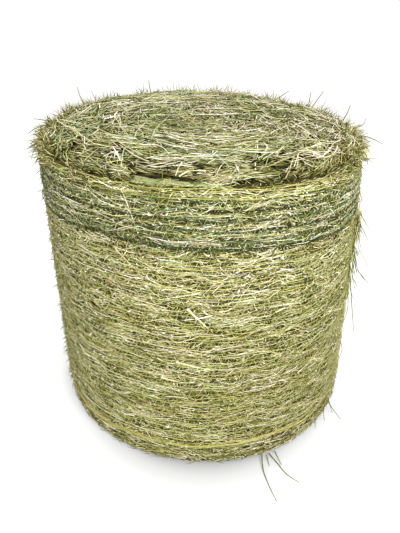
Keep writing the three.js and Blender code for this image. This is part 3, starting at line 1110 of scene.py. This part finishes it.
TOP_LAYERS = {
    "top_long_hay": {
        "seed": 42, "count": 2200, "stops": 6, "length": (0.08, 0.20), "width": (0.0024, 0.0040),
        "scatter": 0.7, "lift": (0.004, 0.024), "steep": 0.04, "weights": PALE_TOP, "light": 0.08},
    "top_short_hay": {
        "seed": 41, "count": 4800, "stops": 4, "length": (0.03, 0.09), "width": (0.0022, 0.0040),
        "scatter": 1.1, "lift": (-0.002, 0.020), "steep": 0.09, "weights": PALE_TOP, "light": 0.04},
    "top_chaff": {
        "seed": 43, "count": 12500, "stops": 3, "length": (0.014, 0.044), "width": (0.0024, 0.0044),
        "scatter": 1.4, "lift": (-0.004, 0.019), "steep": 0.14, "weights": PALE_TOP, "light": 0.02},
    "top_pale_stems": {
        "seed": 44, "count": 150, "stops": 9, "length": (0.08, 0.20), "width": (0.0020, 0.0030),
        "scatter": 0.6, "lift": (0.014, 0.026), "steep": 0.02, "weights": CREAM_TOP, "light": 0.05},
}
for name, layer in TOP_LAYERS.items():
    spindles(name, top_stems(**layer), hay_finish)

# %% [markdown]
# ## Bundles on the mat
# A few bundles catch the eye: a pale ridge behind the pockets, a bright one beside it, and the knot
# where the mat hangs over the ledge. A bundle is many stems from about one place to about another.

# %% Lay the bundles
BUNDLES = [  # start and stop, each as direction in degrees and distance in; stems, spread and height over it
    {"start": (-109, 0.112), "stop": (-97, 0.140), "count": 20, "spread": 0.010, "over": 0.016},
    {"start": (-98, 0.140), "stop": (-86, 0.150), "count": 12, "spread": 0.016, "over": 0.014},
    {"start": (-87, 0.132), "stop": (-71, 0.112), "count": 16, "spread": 0.008, "over": 0.018},
    {"start": (-103, 0.074), "stop": (-80, 0.054), "count": 14, "spread": 0.010, "over": 0.012},
    {"start": (-110, 0.082), "stop": (-96, 0.100), "count": 7, "spread": 0.012, "over": 0.014},
    {"start": (-89, 0.056), "stop": (-79, 0.022), "count": 9, "spread": 0.018, "over": 0.010},
    {"start": (-79, 0.062), "stop": (-88, 0.012), "count": 9, "spread": 0.018, "over": 0.010},
    {"start": (-60, 0.120), "stop": (-38, 0.075), "count": 8, "spread": 0.016, "over": 0.014},
]


def bundle(seed, start, stop, count, spread, over):
    """Many stems that run together over the mat."""
    draws = np.random.default_rng(seed)
    share = STOPS[6][None]
    turn = math.radians(start[0]) + math.radians(stop[0] - start[0]) * share
    inward = start[1] + (stop[1] - start[1]) * share
    slide = draws.uniform(-0.25, 0.25, count)[:, None] * math.radians(stop[0] - start[0])
    ends = draws.normal(0, spread, (count, 2, 1))
    fan = ends[:, 0] + (ends[:, 1] - ends[:, 0]) * share
    sway = 0.5 * spread * np.sin(draws.uniform(0, 6, count)[:, None] + 4 * share)
    angle = turn + slide
    distance = RIM_RADIUS - inward + fan + sway
    x = middle_at(RIM_HEIGHT) + distance * np.cos(angle)
    y = distance * np.sin(angle)
    z = top_at(x, y, bridged_map) + over * draws.uniform(0.3, 1.2, count)[:, None]
    stems = stem_lot(
        np.stack([x, y, z], -1), UP, 0.7, draws.uniform(0.0022, 0.0034, count),
        pick_tones(draws, count, CREAM_TOP), draws.normal(0.54, 0.22, count),
    )
    return thinned(stems, draws.uniform(0, 1, count) > 0.75 * over_hollow(x, y))


bundles = [bundle(46 + number, **place) for number, place in enumerate(BUNDLES)]
spindles("mat_bundles", gathered(bundles), hay_finish)

# %% [markdown]
# ## Loose ends
# The knives and the belts leave a ragged fringe round the rim, short stubs on the side and a frayed
# skirt at the foot. Each is a short stem that leaves the surface in its own direction and droops.

# %% Set the loose ends
FRINGE_TONES = {"tan": 26, "straw": 22, "brown": 14, "lime": 14, "green": 10, "cream": 8, "beige": 6}
FRONT = math.radians(-95)
LEFT_OUTLINE = math.radians(-163)
SLIPPED = math.radians(-17)  # where a bunch slipped out on the right
LOWEST = 0.0015  # how near the floor a stem may come


def loose_ends(draws, angle, height, standoff, length, climb, turn, droop, width, weights, shade):
    """Short stems that leave the bale at a place, by how far they climb and turn aside."""
    count = len(angle)
    outward = outward_at(angle)
    aside = np.stack([-np.sin(angle), np.cos(angle), np.zeros(count)], -1)
    aim = np.cos(climb)[:, None] * (np.cos(turn)[:, None] * outward + np.sin(turn)[:, None] * aside)
    aim = aim + np.sin(climb)[:, None] * UP
    way = STOPS[3][None, :, None] * length[:, None, None]
    lines = on_side(angle, height, standoff)[:, None] + aim[:, None] * way
    lines = lines - droop[:, None, None] * way ** 2 / length[:, None, None] * UP
    lines[..., 2] = np.maximum(lines[..., 2], LOWEST)
    facing = (aside + 0.3 * UP)[:, None]
    tone = pick_tones(draws, count, weights)
    return stem_lot(lines, facing, 0.8, width, tone, draws.normal(shade, 0.16, count))


def uneven(draws, shortest, longest, count):
    """Lengths of which most are short and a few are long."""
    return shortest + (longest - shortest) * draws.uniform(0, 1, count) ** 2.2


def behind_front(draws, count, spread, share):
    """Directions all round, with a share of those near the front left out."""
    angle = draws.uniform(-math.pi, math.pi, count)
    front = np.exp(-((angle - FRONT) / spread) ** 2)
    return angle[draws.uniform(0, 1, count) > share * front]


def either_way(draws, middle, spread, count):
    """Turns to one side or the other, for stems that lie along the bale."""
    return np.where(draws.uniform(0, 1, count) < 0.5, 1, -1) * draws.normal(middle, spread, count)


def rim_fringe(seed, count):
    """The fringe all round the rim, thickest on the left and the right."""
    draws = np.random.default_rng(seed)
    angle = behind_front(draws, count, 0.75, 0.85)
    count = len(angle)
    return loose_ends(
        draws, angle, draws.uniform(1.165, 1.203, count), draws.uniform(-0.03, -0.002, count),
        uneven(draws, 0.016, 0.085, count), draws.normal(0.65, 0.5, count), draws.normal(0, 0.9, count),
        draws.uniform(0, 0.4, count), draws.uniform(0.0026, 0.0042, count), FRINGE_TONES, 0.36,
    )


def rim_crown(seed, count):
    """Short stems that stand up all round the edge of the top."""
    draws = np.random.default_rng(seed)
    angle = behind_front(draws, count, 0.9, 0.95)
    count = len(angle)
    return loose_ends(
        draws, angle, draws.uniform(1.196, 1.204, count), draws.uniform(-0.05, 0.0, count),
        uneven(draws, 0.018, 0.080, count), draws.normal(0.75, 0.4, count), draws.uniform(-3.1, 3.1, count),
        draws.uniform(0, 0.3, count), draws.uniform(0.0030, 0.0048, count), FRINGE_TONES, 0.34,
    )


def side_tufts(seed, count):
    """The dense tufts that stick out at the rim on the left and the right."""
    draws = np.random.default_rng(seed)
    right = draws.uniform(0, 1, count) < 0.58
    angle = np.where(right, math.radians(-4), math.radians(186)) + draws.normal(0, 0.17, count)
    return loose_ends(
        draws, angle, draws.uniform(1.130, 1.206, count), draws.uniform(-0.03, 0.004, count),
        uneven(draws, 0.03, 0.095, count), draws.normal(0.25, 0.6, count), draws.normal(0, 0.9, count),
        draws.uniform(0, 0.4, count), draws.uniform(0.0028, 0.0044, count), FRINGE_TONES, 0.40,
    )


def lip_fringe(seed, count):
    """Stems on the front lip of the mat, mostly along it, with gaps at the pockets."""
    draws = np.random.default_rng(seed)
    angle = FRONT + draws.normal(0, 0.55, count)
    turn = either_way(draws, 1.45, 0.22, count)
    stems = loose_ends(
        draws, angle, draws.uniform(1.214, 1.246, count), draws.uniform(-0.006, 0.004, count),
        draws.uniform(0.03, 0.09, count), draws.normal(0.04, 0.14, count), turn,
        draws.uniform(0, 0.10, count), draws.uniform(0.0022, 0.0038, count), PALE_TOP, 0.50,
    )
    x, y, z = np.moveaxis(stems["lines"], -1, 0)
    return thinned(stems, draws.uniform(0, 1, count) > 1.1 * hollow_at(x, y, z).max(1))


def side_stubs(seed, count):
    """Stubs that poke out through the net, with more and thicker ones at the left outline."""
    draws = np.random.default_rng(seed)
    left = draws.uniform(0, 1, count) < 0.26
    around = draws.uniform(-math.pi, math.pi, count)
    angle = np.where(left, LEFT_OUTLINE + draws.normal(0, 0.06, count), around)
    length = np.where(left, uneven(draws, 0.014, 0.050, count), draws.uniform(0.010, 0.030, count))
    return loose_ends(
        draws, angle, draws.uniform(0.05, 1.16, count), draws.uniform(0.0, 0.005, count), length,
        draws.normal(-0.6, 0.5, count), draws.normal(0, 0.9, count), draws.uniform(0, 0.4, count),
        np.where(left, 0.0038, 0.0028) * draws.uniform(0.8, 1.2, count), FRINGE_TONES, 0.34,
    )


def hanging_hay(seed, count):
    """The bunch that slipped out on the right and hangs down the side."""
    draws = np.random.default_rng(seed)
    angle = SLIPPED + draws.normal(0, 0.055, count)
    height = 0.95 - uneven(draws, 0.0, 0.40, count)
    return loose_ends(
        draws, angle, height, draws.uniform(0.004, 0.026, count), uneven(draws, 0.05, 0.18, count),
        draws.normal(-1.15, 0.25, count), draws.normal(0.2, 1.0, count), draws.uniform(0, 0.15, count),
        draws.uniform(0.0036, 0.0056, count), GREEN_TOP, 0.26,
    )


def foot_skirt(seed, count):
    """Frayed stems at the foot, down to the ground."""
    draws = np.random.default_rng(seed)
    angle = draws.uniform(-math.pi, math.pi, count)
    turn = either_way(draws, 1.50, 0.14, count)
    return loose_ends(
        draws, angle, draws.uniform(0.002, 0.09, count), draws.uniform(-0.003, 0.005, count),
        draws.uniform(0.02, 0.07, count), draws.normal(-0.04, 0.16, count), turn,
        draws.uniform(0, 0.1, count), draws.uniform(0.0022, 0.0040, count), LIME_SIDE, 0.36,
    )


spindles("rim_fringe", rim_fringe(51, 3600), hay_finish)
spindles("rim_crown", rim_crown(55, 2900), hay_finish)
spindles("side_tufts", side_tufts(56, 900), hay_finish)
spindles("lip_fringe", lip_fringe(52, 900), hay_finish)
spindles("side_stubs", side_stubs(53, 900), hay_finish)
spindles("hanging_hay", hanging_hay(57, 64), hay_finish)
spindles("foot_skirt", foot_skirt(54, 1800), hay_finish)

# %% [markdown]
# ## The frayed side of the net
# On the right some threads of the net have broken. They hang down the side in loose waves, beside the
# bunch of stems that slipped out there.

# %% Hang the frayed threads
FRAY_STOPS = 12


def frayed_threads(seed, count):
    """Broken net threads that hang in waves on the right."""
    draws = np.random.default_rng(seed)
    share = np.linspace(0, 1, FRAY_STOPS)[None]
    top = draws.uniform(0.62, 1.06, count)[:, None]
    fall = draws.uniform(0.10, 0.32, count)[:, None]
    height = top - fall * share
    sway = draws.uniform(0.004, 0.014, count)[:, None]
    waves = draws.uniform(1.5, 4.0, count)[:, None]
    swing = waves * 2 * math.pi * share + draws.uniform(0, 2 * math.pi, count)[:, None]
    angle = SLIPPED + draws.normal(0, 0.035, count)[:, None] + sway * np.sin(swing) / RIM_RADIUS
    standoff = 0.006 + draws.uniform(0.002, 0.022, count)[:, None] * np.sin(math.pi * share ** 0.8)
    standoff = standoff + 0.4 * sway * (1 + np.cos(swing))
    return stem_lot(
        on_side(angle, height, standoff), outward_at(angle), 0.8, draws.uniform(0.0030, 0.0042, count),
        pick_net_tones(draws, count, {"yellow": 80, "pale": 20}), draws.normal(0.5, 0.1, count),
    )


spindles("net_frays", frayed_threads(61, 26), net_finish)

# %% [markdown]
# ## The stems that the frame holds
# The single stems, blades and hanging stems already have their real shape and place in the frame, so
# they stay and only get a finish. It reads their place: a slow noise moves it from green to straw, a
# fine one draws the ribs of the stem and raises them.

# %% Finish the single stems
def stem_finish(name, dark, middle, light, roughness):
    """A dry stem or blade with mottled colour and fine ribs."""
    finish, tree, shader = new_finish(name)
    places = add_node(tree, "ShaderNodeTexCoord", {})
    mottle = add_node(
        tree, "ShaderNodeTexNoise", {"Vector": (places, "Object"), "Scale": 60.0, "Detail": 4.0})
    ramp = add_ramp(tree, [(0.32, dark), (0.5, middle), (0.68, light)], mottle, "Fac")
    ribs = add_node(tree, "ShaderNodeTexNoise", {"Vector": (places, "Object"), "Scale": 900.0})
    bump = add_node(tree, "ShaderNodeBump", {"Height": (ribs, "Fac"), "Distance": 0.0006})
    feed(shader, {
        "Base Color": (ramp, "Color"), "Normal": (bump, "Normal"),
        "Roughness": roughness, "Specular IOR Level": 0.1,
    })
    return finish


green_stem = stem_finish("green stem", (0.045, 0.065, 0.010), (0.09, 0.12, 0.020), (0.19, 0.20, 0.05), 0.7)
pale_straw = stem_finish("pale straw", (0.38, 0.33, 0.17), (0.58, 0.53, 0.33), (0.76, 0.72, 0.52), 0.6)
for name, node in frame["nodes"].items():
    if name in ("hay_roll", "net_wrap"):
        continue
    straw = name.startswith(("net_stem", "net_blade", "top_stem"))
    node.data.materials.clear()
    node.data.materials.append(pale_straw if straw else green_stem)


def count_triangles(ob):
    """The triangles of a mesh object."""
    ob.data.calc_loop_triangles()
    return len(ob.data.loop_triangles)


shown = [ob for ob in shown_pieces() if ob.type == "MESH"]
all_triangles = sum(count_triangles(ob) for ob in shown)
print("triangles of the body:", count_triangles(body), "and in all:", all_triangles)
